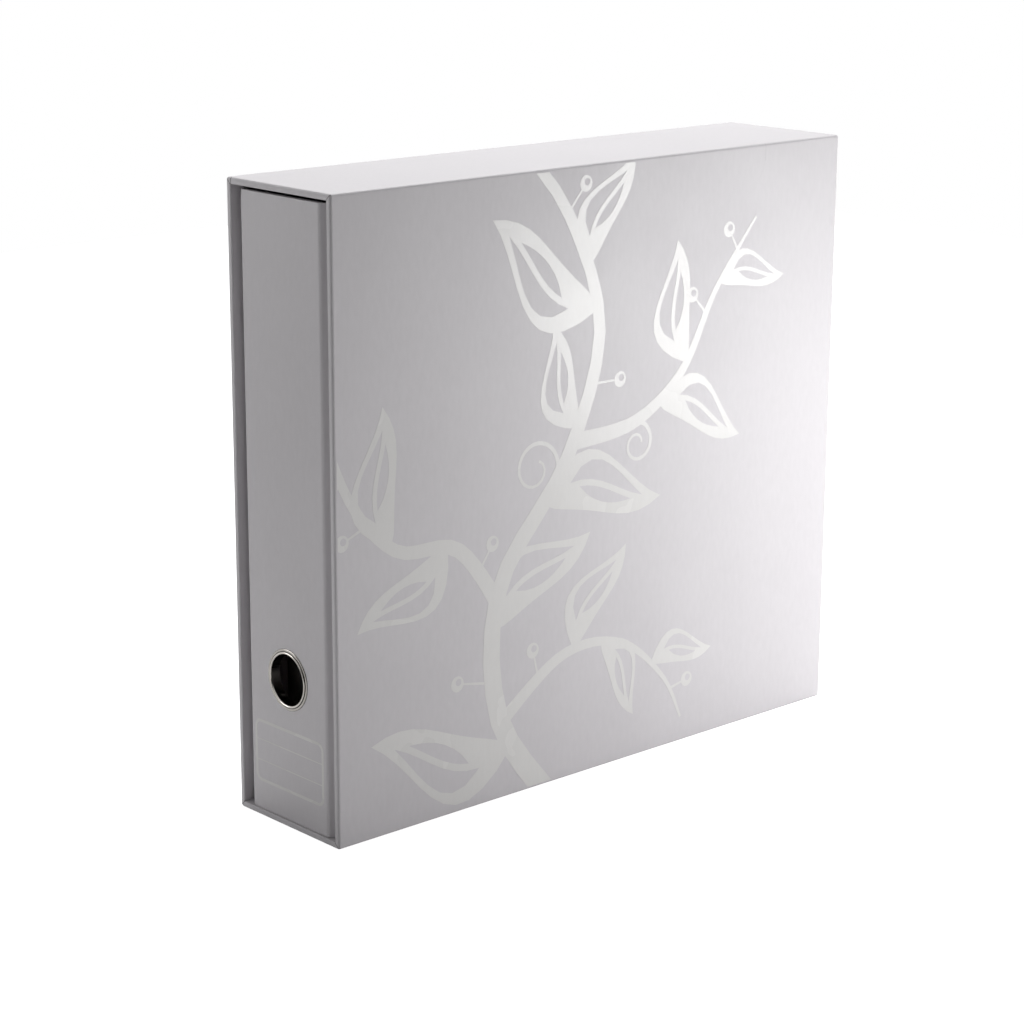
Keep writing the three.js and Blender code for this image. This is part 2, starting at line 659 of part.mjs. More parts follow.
// A rivet's section as (radius, height above the cover's inside): foot, shank and domed head
function rivet() {
  const footFace = COVER_PAPER - COVER_THICKNESS + RIVET_FOOT_PLAY;
  const head = HOUSING_CROWN + PLAY;
  const profile = turned([
    [0, footFace],
    [RIVET_FOOT_RADIUS, footFace],
    [RIVET_FOOT_RADIUS, footFace + RIVET_FOOT_HEIGHT],
    [RIVET_SHANK_RADIUS, footFace + RIVET_FOOT_HEIGHT],
    [RIVET_SHANK_RADIUS, head],
    [RIVET_HEAD_RADIUS, head],
    ...RIVET_DOME.map(([out, up]) => [out * RIVET_HEAD_RADIUS, head + up * RIVET_HEAD_HEIGHT]),
    [0, head + RIVET_HEAD_HEIGHT],
  ], HUB_SIDES);
  return solid(profile.rotateZ(-Math.PI / 2));
}

function leverPin() {
  const pin = new THREE.CylinderGeometry(
    LEVER_PIN_RADIUS, LEVER_PIN_RADIUS, HOUSING_WIDTH + 2 * PLAY, BORE_SIDES,
  );
  return solid(pin);
}

// A lever drawn about its pin: hub, two tongues that hold the blades' ends between them, an
// arm that leaves the housing's open end, and a wider thumb pad
function lever() {
  const hub = new THREE.CylinderGeometry(
    LEVER_HUB_RADIUS, LEVER_HUB_RADIUS, LEVER_TONGUE_WIDTH, HUB_SIDES,
  );
  const bore = new THREE.CylinderGeometry(
    LEVER_PIN_RADIUS + PLAY, LEVER_PIN_RADIUS + PLAY, LEVER_PAD_WIDTH, HUB_SIDES,
  );
  const drop = BLADE_PIVOT * Math.sin(BLADE_CLOSED_TILT);
  const bladeBottom = BLADE_PIVOT_HEIGHT - drop - BLADE_THICKNESS / 2 - LEVER_PIN_HEIGHT;
  const lowerTop = bladeBottom - PLAY;
  const upperBottom = bladeBottom + BLADE_THICKNESS + LEVER_UPPER_PLAY;
  const armInner = LEVER_PIN_SETBACK + PLAY + LEVER_ARM_GAP;
  const armOuter = armInner + LEVER_SHEET;
  const top = LEVER_HEIGHT - LEVER_PIN_HEIGHT;
  const padStart = LEVER_PAD_START - LEVER_PIN_HEIGHT;
  const slab = (points, width) => extruded(
    outline(points), width, LEVER_SECTION, [0, -width / 2, 0],
  );
  const lowerTongue = slab([
    [-LEVER_TONGUE_REACH, lowerTop - LEVER_TONGUE], [0, lowerTop - LEVER_TONGUE],
    [0, lowerTop], [-LEVER_TONGUE_REACH, lowerTop],
  ], LEVER_TONGUE_WIDTH);
  const upperTongue = slab([
    [-LEVER_TONGUE_REACH, upperBottom], [0, upperBottom],
    [0, upperBottom + LEVER_TONGUE], [-LEVER_TONGUE_REACH, upperBottom + LEVER_TONGUE],
  ], LEVER_TONGUE_WIDTH);
  const foot = slab([
    [0, -LEVER_FOOT_HALF], [armOuter, -LEVER_FOOT_HALF],
    [armOuter, LEVER_FOOT_HALF], [0, LEVER_FOOT_HALF],
  ], LEVER_WIDTH);
  const arm = slab([
    [armInner, -LEVER_FOOT_HALF], [armOuter, -LEVER_FOOT_HALF],
    [armOuter, padStart + LEVER_PAD_OVERLAP], [armInner, padStart + LEVER_PAD_OVERLAP],
  ], LEVER_WIDTH);
  const pad = slab([
    [armInner, padStart], [armOuter, padStart],
    ...LEVER_PAD_OUTSIDE.map(([out, down]) => [armOuter + out, top - down]),
    [armInner + LEVER_PAD_INSIDE[0], top - LEVER_PAD_INSIDE[1]],
  ], LEVER_PAD_WIDTH);
  return solid(hub).add(lowerTongue).add(upperTongue).add(foot).add(arm).add(pad)
    .subtract(solid(bore));
}

// The write-in frame on the spine: a rounded border with ruled lines
function labelPrint() {
  const half = LABEL_WIDTH / 2;
  const top = LABEL_BOTTOM + LABEL_HEIGHT;
  const frame = roundedRectangle(half, LABEL_BOTTOM, top, LABEL_RADIUS);
  frame.holes.push(roundedRectangle(
    half - LABEL_LINE, LABEL_BOTTOM + LABEL_LINE, top - LABEL_LINE, LABEL_RADIUS - LABEL_LINE,
  ));
  const face = [0, SPINE_Y, 0];
  let print = extruded(frame, PRINT_FILM, ALONG_MINUS_Y, face, {
    curveSegments: LABEL_CORNER_STEPS,
  });
  for (let rule = 1; rule <= LABEL_RULE_COUNT; rule += 1) {
    const z = LABEL_BOTTOM + LABEL_HEIGHT * rule / (LABEL_RULE_COUNT + 1);
    const line = outline([
      [-half + LABEL_LINE / 2, z], [half - LABEL_LINE / 2, z],
      [half - LABEL_LINE / 2, z + LABEL_RULE], [-half + LABEL_LINE / 2, z + LABEL_RULE],
    ]);
    print = print.add(extruded(line, PRINT_FILM, ALONG_MINUS_Y, face));
  }
  return print;
}

// The print on the decorated side is a leafy scroll. Its places are (from the mouth, up from
// the underside). A stem has the points of its curve, its widths at both ends, and what grows
// from it: leaves as [share of the stem, side, length, width], berries as [share, side, stalk]
// and tendrils as [share, side, radius].
const STEMS = [
  {
    curve: [[142, -10], [104, 44], [104, 112], [150, 172], [172, 236], [150, 296], [118, 332]],
    widths: [13, 6],
    leaves: [
      [0.12, 1, 94, 38], [0.29, -1, 78, 33], [0.47, -1, 84, 34], [0.58, 1, 58, 26],
      [0.74, 1, 88, 36], [0.80, -1, 62, 26],
    ],
    berries: [[0.22, 1, 24], [0.64, -1, 20], [0.88, -1, 18]],
    tendrils: [[0.49, 1, 17]],
  },
  {
    curve: [[104, 104], [76, 138], [38, 144], [10, 172], [-8, 214]],
    widths: [9, 4],
    leaves: [[0.30, 1, 66, 28], [0.52, -1, 70, 29], [0.80, 1, 54, 23]],
    berries: [[0.14, -1, 16], [0.64, 1, 16]],
    tendrils: [],
  },
  {
    curve: [[156, 180], [198, 184], [232, 206], [256, 246], [286, 282]],
    widths: [9, 1.6],
    leaves: [[0.34, -1, 68, 28], [0.50, 1, 66, 28], [0.76, -1, 50, 21]],
    berries: [[0.66, 1, 15], [0.88, 1, 13]],
    tendrils: [[0.22, -1, 12]],
  },
  {
    curve: [[104, 40], [148, 68], [190, 66], [222, 40], [236, 14]],
    widths: [8, 1.6],
    leaves: [[0.36, 1, 62, 26], [0.48, -1, 52, 22], [0.74, 1, 46, 20]],
    berries: [[0.20, 1, 16], [0.88, 1, 13]],
    tendrils: [],
  },
];

// The film of one flat shape, drawn as (from the mouth, up), on the decorated side
function film(shape, curveSegments = PRINT_CURVE_STEPS) {
  const place = [CASE_THICKNESS / 2, MOUTH_Y, 0];
  return extruded(shape, PRINT_FILM, ALONG_X, place, { curveSegments });
}

// A band along a curve whose width runs from one value to another
function band(curve, startWidth, endWidth, steps) {
  const left = [];
  const right = [];
  for (let step = 0; step <= steps; step += 1) {
    const share = step / steps;
    const at = curve.getPointAt(share);
    const along = curve.getTangentAt(share);
    const half = THREE.MathUtils.lerp(startWidth, endWidth, share) / 2;
    left.push([at.x - along.y * half, at.y + along.x * half]);
    right.push([at.x + along.y * half, at.y - along.x * half]);
  }
  return outline([...left, ...right.reverse()]);
}

// Points of a lens that swells to both sides of a line from one place along a leaf to another,
// given as shares of its length and width
function lens(length, width, [from, to, middle, rise, fall], steps) {
  const upper = [];
  const lower = [];
  for (let step = 0; step <= steps; step += 1) {
    const share = step / steps;
    const swell = Math.sin(Math.PI * share ** LEAF_FULLNESS);
    const along = THREE.MathUtils.lerp(from, to, share) * length;
    upper.push([along, (middle + rise * swell) * width]);
    lower.push([along, (middle - fall * swell) * width]);
  }
  return [...lower, ...upper.slice(1, -1).reverse()];
}

// A leaf with an open field on each side of its rib, turned to an angle at a place
function leaf(x, y, angle, length, width) {
  const cos = Math.cos(angle);
  const sin = Math.sin(angle);
  const turn = (points) => points.map(([a, b]) => [
    x + a * cos - (b + sway(a, length)) * sin,
    y + a * sin + (b + sway(a, length)) * cos,
  ]);
  const whole = [0, 1, 0, LEAF_UPPER_SHARE, LEAF_LOWER_SHARE];
  const surface = outline(turn(lens(length, width, whole, LEAF_STEPS)));
  [LEAF_WIDE_FIELD, LEAF_NARROW_FIELD].forEach((field) => {
    surface.holes.push(outline(turn(lens(length, width, field, VOID_STEPS))));
  });
  return film(surface);
}

function sway(along, length) {
  return LEAF_SWAY * length * Math.sin(LEAF_SWAY_HALF_TURNS * Math.PI * along / length);
}

function berry(x, y, angle, stalk) {
  const middle = [x + Math.cos(angle) * stalk, y + Math.sin(angle) * stalk];
  const ring = new THREE.Shape();
  ring.absarc(middle[0], middle[1], BERRY_RADIUS, 0, 2 * Math.PI);
  const eye = new THREE.Path();
  eye.absarc(
    middle[0] + BERRY_EYE_SHIFT, middle[1] + BERRY_EYE_SHIFT, BERRY_EYE_RADIUS, 0, 2 * Math.PI,
  );
  ring.holes.push(eye);
  const reach = stalk - BERRY_RADIUS + BERRY_STALK_OVERLAP;
  const line = new THREE.LineCurve(
    new THREE.Vector2(x, y),
    new THREE.Vector2(x + Math.cos(angle) * reach, y + Math.sin(angle) * reach),
  );
  return film(ring, BERRY_ARC_STEPS).add(film(band(line, ...BERRY_STALK_WIDTHS, 1)));
}

function tendril(x, y, angle, side, radius) {
  const points = [];
  for (let step = 0; step <= TENDRIL_STEPS; step += 1) {
    const share = step / TENDRIL_STEPS;
    const turn = side * 2 * Math.PI * TENDRIL_TURNS * share;
    const reach = radius * (1 - TENDRIL_CLOSING * share);
    points.push(new THREE.Vector2(
      x + Math.cos(angle) * radius - reach * Math.cos(angle + turn),
      y + Math.sin(angle) * radius - reach * Math.sin(angle + turn),
    ));
  }
  return film(band(new THREE.SplineCurve(points), ...TENDRIL_WIDTHS, 2 * TENDRIL_STEPS));
}

function sidePrint() {
  const films = [];
  STEMS.forEach((stem) => {
    const curve = new THREE.SplineCurve(stem.curve.map(([a, b]) => new THREE.Vector2(a, b)));
    films.push(film(band(curve, stem.widths[0], stem.widths[1], STEM_STEPS)));
    const rooted = (share, side, lean) => {
      const at = curve.getPointAt(share);
      const along = curve.getTangentAt(share);
      return [at.x, at.y, Math.atan2(along.y, along.x) + side * lean];
    };
    stem.leaves.forEach(([share, side, length, width]) => {
      films.push(leaf(...rooted(share, side, LEAF_LEAN), length, width));
    });
    stem.berries.forEach(([share, side, stalk]) => {
      films.push(berry(...rooted(share, side, BERRY_LEAN), stalk));
    });
    stem.tendrils.forEach(([share, side, radius]) => {
      films.push(tendril(...rooted(share, side, TENDRIL_LEAN), side, radius));
    });
  });
  const field = block(
    CASE_THICKNESS / 2 - OVERRUN, CASE_THICKNESS / 2 + OVERRUN,
    MOUTH_Y + PRINT_MARGIN, CLOSED_Y - PRINT_MARGIN, PRINT_MARGIN, CASE_HEIGHT - PRINT_MARGIN,
  );
  return films.reduce((print, next) => print.add(next)).intersect(field);
}

const group = new THREE.Group();

const slipcase = new THREE.Group();
slipcase.add(piece('slipcase_board', slipcaseBoard(), BOARD_FINISH));
slipcase.add(piece('slipcase_wrap', slipcaseWrap(), CASE_PAPER_FINISH));
slipcase.add(piece('slipcase_lining', slipcaseLining(), LINING_FINISH));
slipcase.add(piece('side_print', sidePrint(), PRINT_FINISH));
group.add(slipcase);

const binder = new THREE.Group();
binder.add(piece('spine_board', spineBoard(), BOARD_FINISH));
binder.add(piece('front_cover_board', coverBoard(1), BOARD_FINISH));
binder.add(piece('back_cover_board', backCoverBoard(), BOARD_FINISH));
binder.add(piece('cover_wrap', coverWrap(), CASE_PAPER_FINISH));
binder.add(piece('cover_lining', coverLining(), LINING_FINISH));
binder.add(piece('label_print', labelPrint(), PRINT_FINISH));
binder.add(piece('finger_ring', fingerRing(), NICKEL_FINISH));
binder.add(piece('finger_ring_collar', fingerRingCollar(), NICKEL_FINISH));

// The mechanism's own frame: on the back cover's inside, X away from it, Y across, Z along
const mechanism = new THREE.Group();
mechanism.position.set(-INSIDE_HALF, MECHANISM_Y, BINDER_MIDDLE);
mechanism.add(piece('ring_housing', ringHousing(), NICKEL_FINISH));
mechanism.add(piece('blade_page_side', blade(1), NICKEL_FINISH));
mechanism.add(piece('blade_spine_side', blade(-1), NICKEL_FINISH));
ringHeights().forEach((height, index) => {
  const post = piece(`ring_post_${index + 1}`, ringPost(), NICKEL_FINISH);
  post.position.z = height;
  const arch = piece(`ring_arch_${index + 1}`, ringArch(), NICKEL_FINISH);
  arch.position.z = height;
  mechanism.add(post, arch);
});
['lower', 'upper'].forEach((place, index) => {
  const end = index === 0 ? -1 : 1;
  const fixing = piece(`rivet_${place}`, rivet(), NICKEL_FINISH);
  fixing.position.z = rivetHeights()[index];
  const pin = piece(`lever_pin_${place}`, leverPin(), NICKEL_FINISH);
  pin.position.set(LEVER_PIN_HEIGHT, 0, end * LEVER_PIN_Z);
  const arm = piece(`lever_${place}`, lever(), NICKEL_FINISH);
  arm.position.copy(pin.position);
  arm.rotation.x = end > 0 ? 0 : Math.PI;
  mechanism.add(fixing, pin, arm);
});
binder.add(mechanism);
group.add(binder);

export default group;
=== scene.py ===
"""Looks of a slipcase ring binder: satin paper over board, a pale gloss print, nickel fittings.

Metres, +Z up. The mouth and the spine face -Y, the decorated side faces +X.
"""

import json
import math

import bmesh
import bpy
from mathutils import Matrix, Vector


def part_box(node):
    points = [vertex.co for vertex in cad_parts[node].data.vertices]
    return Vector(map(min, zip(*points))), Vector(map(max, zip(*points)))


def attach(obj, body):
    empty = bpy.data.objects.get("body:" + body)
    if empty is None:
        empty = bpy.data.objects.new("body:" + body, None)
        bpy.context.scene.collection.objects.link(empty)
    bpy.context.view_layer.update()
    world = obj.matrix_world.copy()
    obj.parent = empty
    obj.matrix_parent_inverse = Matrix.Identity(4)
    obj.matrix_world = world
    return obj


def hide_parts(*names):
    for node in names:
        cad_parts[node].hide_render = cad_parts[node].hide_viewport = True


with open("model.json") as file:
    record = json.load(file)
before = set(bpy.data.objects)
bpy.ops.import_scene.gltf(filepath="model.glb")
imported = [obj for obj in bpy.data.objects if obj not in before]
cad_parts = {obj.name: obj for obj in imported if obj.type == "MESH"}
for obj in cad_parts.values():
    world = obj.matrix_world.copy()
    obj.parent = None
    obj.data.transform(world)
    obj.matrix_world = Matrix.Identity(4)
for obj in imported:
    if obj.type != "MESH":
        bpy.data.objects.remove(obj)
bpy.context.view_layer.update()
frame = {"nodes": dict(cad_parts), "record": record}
NODES = frame["nodes"]
BODY_OF_NODE = {
    name: body for body, names in frame["record"]["behaviour"]["bodies"].items() for name in names
}
MM = 0.001

# Camera, fitted to the photograph's corners of the slipcase; angles in degrees
CAMERA_PLACE = (0.9821, -0.9154, 0.4902)
CAMERA_AZIMUTH = 47.845
CAMERA_ELEVATION = 14.961
CAMERA_ROLL = 0.231
CAMERA_CLIP_START = 0.05
FOCAL_PIXELS = 2634.9
IMAGE_PIXELS = 1024
SENSOR_WIDTH = 36.0

# Papers: colour, roughness, mottle, fibre and bump
SATIN_PAPER = ((0.62, 0.60, 0.62), 0.42, 0.08, 0.03, 0.10)
GLOSS_PRINT = ((0.725, 0.715, 0.705), 0.25, 0.05, 0.02, 0.05)
LINING_PAPER = ((0.52, 0.51, 0.52), 0.75, 0.08, 0.05, 0.2)
GREY_BOARD = ((0.30, 0.28, 0.25), 0.9, 0.2, 0.3, 0.5)
PAPER_SPECULAR = 0.3
PAPER_BUMP_DEPTH = 0.2 * MM

# The paper's texture: noise scale, detail and roughness; streaks are longer up the sheet
STREAKS = (420.0, 4.0, 0.55)
STREAK_STRETCH = (1.0, 1.0, 0.38)
STREAK_RELIEF = 0.6
CLOUDS = (18.0, 3.0, 0.5)
CLOUD_RANGE = (0.3, 0.7)
CLOUD_GLOSS = (-0.04, 0.04)
FIBRES = (2600.0, 3.0, 0.6)

# The slipcase, as in the solids; the mouth's masks reach just past its 3.2 mm wall
CASE_THICKNESS = 80 * MM
CASE_HEIGHT = 320 * MM
MOUTH_Y = -175 * MM
MASK_WALL = 3.3 * MM
MASK_DEPTH = 1.0 * MM

# Folds of the slipcase's paper
FOLD_WIDTH = 0.35 * MM
FOLD_SHADE = 0.3
FOLD_RELIEF = 2.0
TUCK_X = 36.4 * MM
LAP_Y = 117 * MM
LAP_LENGTH = 9 * MM
LAP_STRENGTH = 0.12

# Nickel: colour, and its scuffs
NICKEL = (0.60, 0.57, 0.53)
SCUFFS = (900.0, 4.0, 0.6)
SCUFF_SHADE_RANGE = (0.3, 0.7)
SCUFF_SHADE = (0.94, 1.0)
SCUFF_ROUGHNESS_RANGE = (0.35, 0.75)
SCUFF_ROUGHNESS = (0.09, 0.2)

# Finger ring: distances outwards from the hole, and its section
HOLE = 13.0 * MM
BARREL = 0.6 * MM
ROLL = 0.62 * MM
RIM_STAND = 0.9 * MM
FLANGE = 2.7 * MM
CURL = (0.9 * MM, 0.4 * MM)
CURL_INSET = 0.1 * MM
CURL_DEPTH = 0.8 * MM
BARREL_CHAMFER = 0.1 * MM
CROWN = (0.72 * MM, 0.34 * MM)
CROWN_RISE = 0.1 * MM
RING_STEPS = 128

# Finger ring's painted light: where the painted highlight on the roll ends and the painted dimming
# starts, in rolls from the hole, and the painted shades in the groove and at the rim
PAINTED_HIGHLIGHT_TO = 1.6
PAINTED_DIM_FROM = 2.1
PAINTED_DIM_NICKEL = 0.7
PAINTED_GROOVE_SHADE_WIDTH = 0.3 * MM
PAINTED_GROOVE_SHADE = 0.15
PAINTED_RIM_SHADE_WIDTH = 0.35 * MM
PAINTED_RIM_SHADE = 0.45

# Finer meshes
WELD = 0.001 * MM
TOUCH = 0.02 * MM
FLAT_ANGLE = 0.4
HINGE_BEVEL = 6.2 * MM
HINGE_FOLD = 1.2 * MM
HINGE_FOLD_STEPS = 5
PAPER_SMOOTH_ANGLE = 50
RING_SMOOTH_ANGLE = 35
METAL_SMOOTH_ANGLE = 42

# Metal edges: width, segments, and the angle past which an edge is softened
PLAIN_METAL = (0.2 * MM, 2, 40)
SOFT_METAL = {
    "ring_housing": (0.3 * MM, 3, 40),
    "ring_arch_": (0.15 * MM, 2, 50),
    "ring_post_": (0.15 * MM, 2, 50),
    "lever_upper": (0.4 * MM, 3, 35),
    "lever_lower": (0.4 * MM, 3, 35),
}
COUNTED = "1234"

# Floor and room; the room is dark towards the mouth's side, and light overhead
FLOOR_SIDE = 3.2
FLOOR_COLOUR = 0.9
FLOOR_ROUGHNESS = 0.8
FLOOR_SPECULAR = 0.1
FLOOR_GLOW = 0.85
FLOOR_MIRRORED_GLOW = 0.05
ROOM_LIGHT = 0.2
DARK_SIDE = (0.64, -0.77, 0.0)
DARK_SIDE_RANGE = (-0.2, 0.6)
DARK_SIDE_SHARE = 0.04
CEILING_RANGE = (0.3, 0.65)
WHITE = (1.0, 1.0, 1.0, 1.0)

# Lamps: name, place, target, size, power and spread
LAMPS = (
    ("far_end_lamp", (0.49, 0.49, 0.17), (0.04, 0.17, 0.12), (0.25, 0.28), 0.88, 85.0),
    ("overhead_lamp", (-0.4, 0.55, 1.5), (0.0, 0.1, 0.3), (1.2, 1.2), 23.4, 180.0),
    ("left_lamp", (-0.75, -0.95, 0.42), (0.0, -0.2, 0.04), (0.5, 0.5), 2.6, 180.0),
)

# Sockets of the Mix node when it mixes colours
MIX_FIRST_COLOUR = 6
MIX_SECOND_COLOUR = 7
MIX_RESULT_COLOUR = 2


def corners(node_name):
    low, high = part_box(node_name)
    return Vector(low), Vector(high)


# Camera
def make_camera():
    azimuth = math.radians(CAMERA_AZIMUTH)
    elevation = math.radians(CAMERA_ELEVATION)
    roll = math.radians(CAMERA_ROLL)
    forward = Vector((
        -math.sin(azimuth) * math.cos(elevation),
        math.cos(azimuth) * math.cos(elevation),
        -math.sin(elevation),
    ))
    level = Vector((math.cos(azimuth), math.sin(azimuth), 0.0))
    upright = level.cross(forward)
    right = level * math.cos(roll) + upright * math.sin(roll)
    up = right.cross(forward)
    turn = Matrix((right, up, -forward)).transposed().to_4x4()
    data = bpy.data.cameras.new("camera")
    data.sensor_width = SENSOR_WIDTH
    data.lens = FOCAL_PIXELS / IMAGE_PIXELS * SENSOR_WIDTH
    data.clip_start = CAMERA_CLIP_START
    camera = bpy.data.objects.new("camera", data)
    bpy.context.scene.collection.objects.link(camera)
    camera.matrix_world = Matrix.Translation(CAMERA_PLACE) @ turn
    bpy.context.scene.camera = camera


make_camera()


# Node building
def new_group(name, inputs, outputs):
    group = bpy.data.node_groups.new(name, "ShaderNodeTree")
    for socket, kind, value in inputs:
        made = group.interface.new_socket(socket, in_out="INPUT", socket_type=kind)
        if value is not None:
            made.default_value = value
    for socket, kind in outputs:
        group.interface.new_socket(socket, in_out="OUTPUT", socket_type=kind)
    return group


def node(tree, kind, **settings):
    made = tree.nodes.new(kind)
    for name, value in settings.items():
        setattr(made, name, value)
    return made


def fill(made, **values):
    for name, value in values.items():
        made.inputs[name.replace("_", " ")].default_value = value
    return made


def noise(tree, coordinates, scale, detail, roughness):
    made = node(tree, "ShaderNodeTexNoise")
    fill(made, Scale=scale, Detail=detail, Roughness=roughness)
    tree.links.new(coordinates, made.inputs["Vector"])
    return made.outputs["Fac"]


def spread(tree, value, low, high, to_low, to_high):
    made = node(tree, "ShaderNodeMapRange")
    fill(made, From_Min=low, From_Max=high, To_Min=to_low, To_Max=to_high)
    tree.links.new(value, made.inputs["Value"])
    return made.outputs["Result"]


def calculate(tree, operation, first, second):
    made = node(tree, "ShaderNodeMath", operation=operation)
    for socket, value in zip(made.inputs, (first, second)):
        if isinstance(value, (int, float)):
            socket.default_value = value
        else:
            tree.links.new(value, socket)
    return made.outputs["Value"]


# 1 on a line of a given half width, 0 beside it
def on_line(tree, distance, half_width):
    far = calculate(tree, "ABSOLUTE", distance, 0.0)
    return spread(tree, far, 0.5 * half_width, half_width, 1.0, 0.0)


def all_of(tree, *masks):
    whole = masks[0]
    for mask in masks[1:]:
        whole = calculate(tree, "MULTIPLY", whole, mask)
    return whole


# Paper: long soft mottling up the sheet, fine fibre, and a slight relief from both
def make_paper_group():
    group = new_group(
        "paper_surface",
        [
            ("Vector", "NodeSocketVector", None),
            ("Mottle", "NodeSocketFloat", 0.05),
            ("Fibre", "NodeSocketFloat", 0.03),
        ],
        [("Shade", "NodeSocketFloat"), ("Height", "NodeSocketFloat"), ("Gloss", "NodeSocketFloat")],
    )
    start = node(group, "NodeGroupInput")
    end = node(group, "NodeGroupOutput")
    stretch = fill(node(group, "ShaderNodeMapping"), Scale=STREAK_STRETCH)
    group.links.new(start.outputs["Vector"], stretch.inputs["Vector"])
    streaks = noise(group, stretch.outputs["Vector"], *STREAKS)
    clouds = noise(group, start.outputs["Vector"], *CLOUDS)
    fibres = noise(group, start.outputs["Vector"], *FIBRES)
    soft = calculate(group, "ADD", streaks, clouds)
    soft = calculate(group, "SUBTRACT", soft, 1.0)
    soft = calculate(group, "MULTIPLY", soft, start.outputs["Mottle"])
    fine = calculate(group, "SUBTRACT", fibres, 0.5)
    fine = calculate(group, "MULTIPLY", fine, start.outputs["Fibre"])
    shade = calculate(group, "ADD", calculate(group, "ADD", soft, fine), 1.0)
    height = calculate(group, "ADD", calculate(group, "MULTIPLY", streaks, STREAK_RELIEF), fibres)
    group.links.new(shade, end.inputs["Shade"])
    group.links.new(height, end.inputs["Height"])
    group.links.new(spread(group, clouds, *CLOUD_RANGE, *CLOUD_GLOSS), end.inputs["Gloss"])
    return group


PAPER_SURFACE = make_paper_group()


# The turned-in paper's joints round the mouth, and the lap where the sheet's ends meet
def make_fold_group():
    inputs = [("Vector", "NodeSocketVector", None)]
    group = new_group("paper_folds", inputs, [("Fold", "NodeSocketFloat")])
    start = node(group, "NodeGroupInput")
    end = node(group, "NodeGroupOutput")
    place = node(group, "ShaderNodeSeparateXYZ")
    group.links.new(start.outputs["Vector"], place.inputs["Vector"])
    x, y, z = (place.outputs[axis] for axis in "XYZ")
    from_middle = calculate(group, "ABSOLUTE", x, 0.0)
    from_side = calculate(group, "SUBTRACT", 0.5 * CASE_THICKNESS, from_middle)
    from_end = calculate(group, "MINIMUM", z, calculate(group, "SUBTRACT", CASE_HEIGHT, z))
    at_mouth = calculate(group, "LESS_THAN", y, MOUTH_Y + MASK_DEPTH)
    mitre = all_of(
        group,
        at_mouth,
        calculate(group, "LESS_THAN", from_side, MASK_WALL),
        calculate(group, "LESS_THAN", from_end, MASK_WALL),
        on_line(group, calculate(group, "SUBTRACT", from_side, from_end), FOLD_WIDTH),
    )
    tuck = all_of(
        group,
        at_mouth,
        calculate(group, "GREATER_THAN", z, CASE_HEIGHT - MASK_WALL),
        on_line(group, calculate(group, "ADD", x, TUCK_X), FOLD_WIDTH),
    )
    lap = all_of(
        group,
        calculate(group, "GREATER_THAN", x, 0.5 * CASE_THICKNESS - MASK_DEPTH),
        calculate(group, "GREATER_THAN", z, CASE_HEIGHT - LAP_LENGTH),
        on_line(group, calculate(group, "SUBTRACT", y, LAP_Y), FOLD_WIDTH),
    )
    folds = calculate(group, "MAXIMUM", mitre, tuck)
    folds = calculate(group, "MAXIMUM", folds, calculate(group, "MULTIPLY", lap, LAP_STRENGTH))
    group.links.new(folds, end.inputs["Fold"])
    return group


PAPER_FOLDS = make_fold_group()


# Materials
def new_material(name):
    material = bpy.data.materials.new(name)
    material.use_nodes = True
    tree = material.node_tree
    return material, tree, tree.nodes["Principled BSDF"]


def object_coordinates(tree):
    return node(tree, "ShaderNodeTexCoord").outputs["Object"]


def shaded(tree, colour, shade):
    made = node(tree, "ShaderNodeMix", data_type="RGBA", blend_type="MULTIPLY")
    made.inputs["Factor"].default_value = 1.0
    made.inputs[MIX_FIRST_COLOUR].default_value = (*colour, 1.0)
    grey = node(tree, "ShaderNodeCombineColor")
    for channel in ("Red", "Green", "Blue"):
        tree.links.new(shade, grey.inputs[channel])
    tree.links.new(grey.outputs["Color"], made.inputs[MIX_SECOND_COLOUR])
    return made.outputs[MIX_RESULT_COLOUR]


def paper_material(name, paper, folded=False):
    colour, roughness, mottle, fibre, bump = paper
    material, tree, shader = new_material(name)
    place = object_coordinates(tree)
    surface = node(tree, "ShaderNodeGroup", node_tree=PAPER_SURFACE)
    fill(surface, Mottle=mottle, Fibre=fibre)
    tree.links.new(place, surface.inputs["Vector"])
    shade = surface.outputs["Shade"]
    height = surface.outputs["Height"]
    if folded:
        folds = node(tree, "ShaderNodeGroup", node_tree=PAPER_FOLDS)
        tree.links.new(place, folds.inputs["Vector"])
        cut = folds.outputs["Fold"]
        shade = calculate(tree, "MULTIPLY", shade, spread(tree, cut, 0.0, 1.0, 1.0, FOLD_SHADE))
        height = calculate(tree, "SUBTRACT", height, calculate(tree, "MULTIPLY", cut, FOLD_RELIEF))
    tree.links.new(shaded(tree, colour, shade), shader.inputs["Base Color"])
    rough = calculate(tree, "ADD", surface.outputs["Gloss"], roughness)
    tree.links.new(rough, shader.inputs["Roughness"])
    relief = fill(node(tree, "ShaderNodeBump"), Strength=bump, Distance=PAPER_BUMP_DEPTH)
    tree.links.new(height, relief.inputs["Height"])
    tree.links.new(relief.outputs["Normal"], shader.inputs["Normal"])
    shader.inputs["Specular IOR Level"].default_value = PAPER_SPECULAR
    return material
